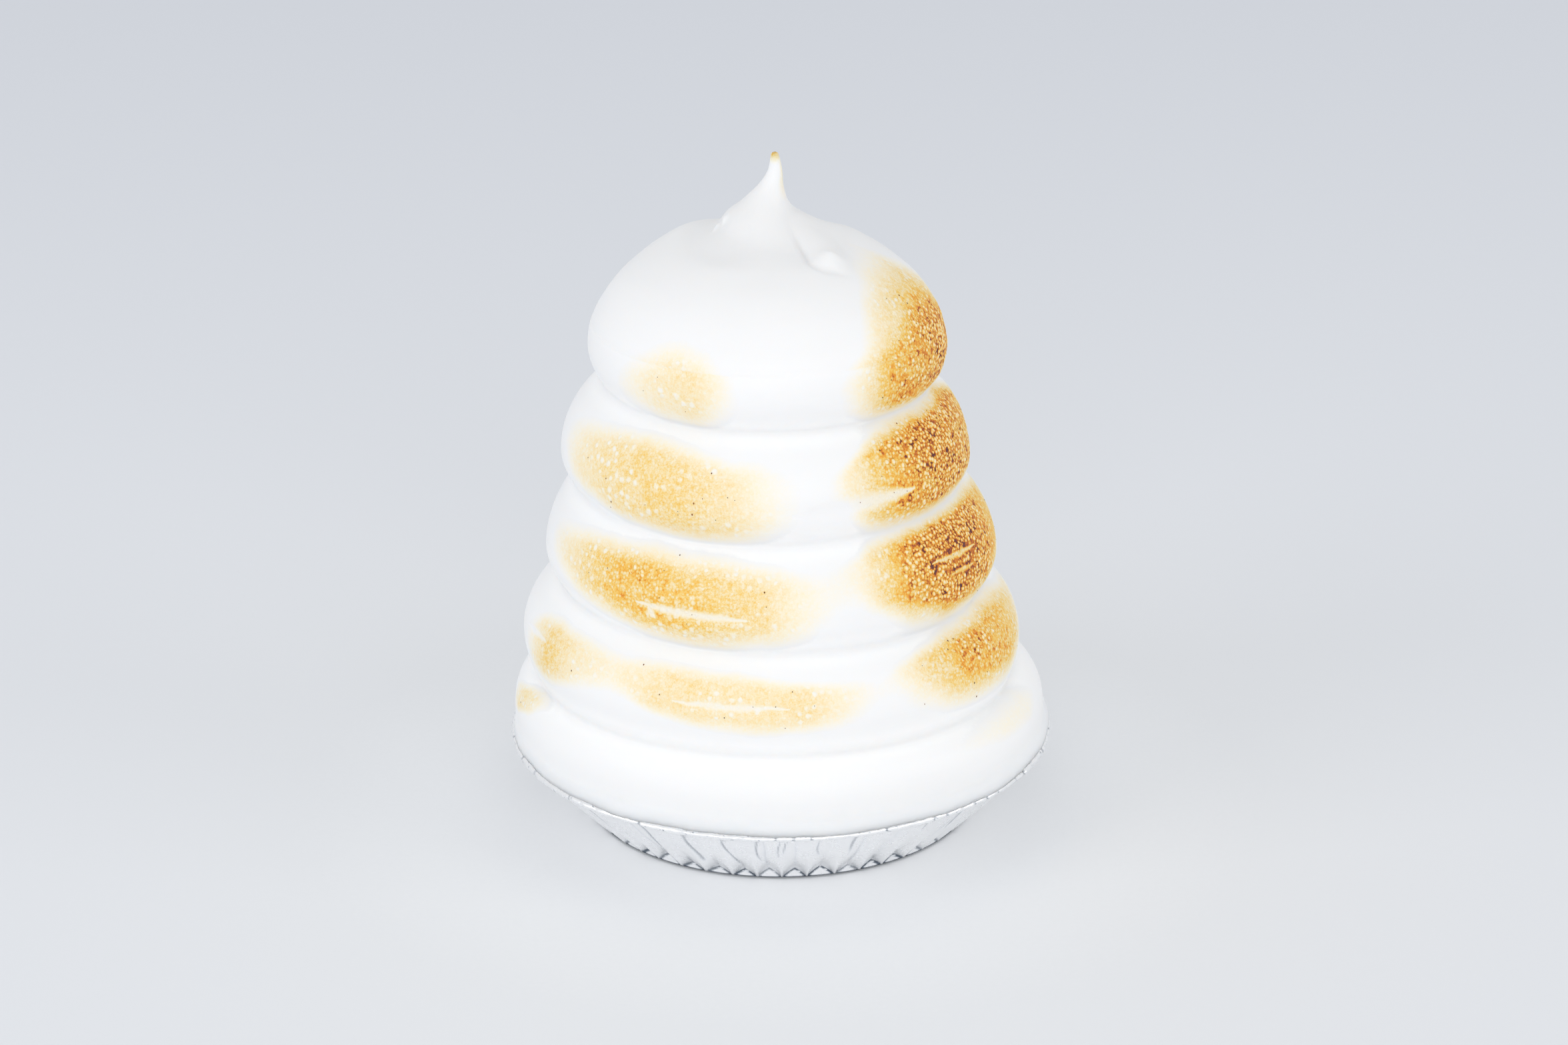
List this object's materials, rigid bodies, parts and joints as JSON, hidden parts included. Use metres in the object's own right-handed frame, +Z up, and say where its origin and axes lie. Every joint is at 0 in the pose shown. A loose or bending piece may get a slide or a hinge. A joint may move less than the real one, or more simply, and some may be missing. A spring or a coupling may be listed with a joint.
{
  "type": "torched meringue in a foil tart pan",
  "caption": "Tall toasted meringue piped as a tower of stacked rings with a pulled peak, standing in its own shallow pleated foil tart pan.",
  "frame": {"origin": "centre of the foil pan's underside, on the table", "axes": "+Z up along the tower to the peak, -Y the front shown in the picture, +X the side where the last piped fold runs down from the peak"},
  "size_m": [0.111, 0.111, 0.1376],
  "materials": {
    "meringue": "satin, glossy-white whipped meringue with caramel-brown torched patches",
    "foil": "bright, creased aluminium foil"
  },
  "bodies": {
    "root": {"meringue": "meringue", "foil_pan": "foil"}
  },
  "joints": []
}
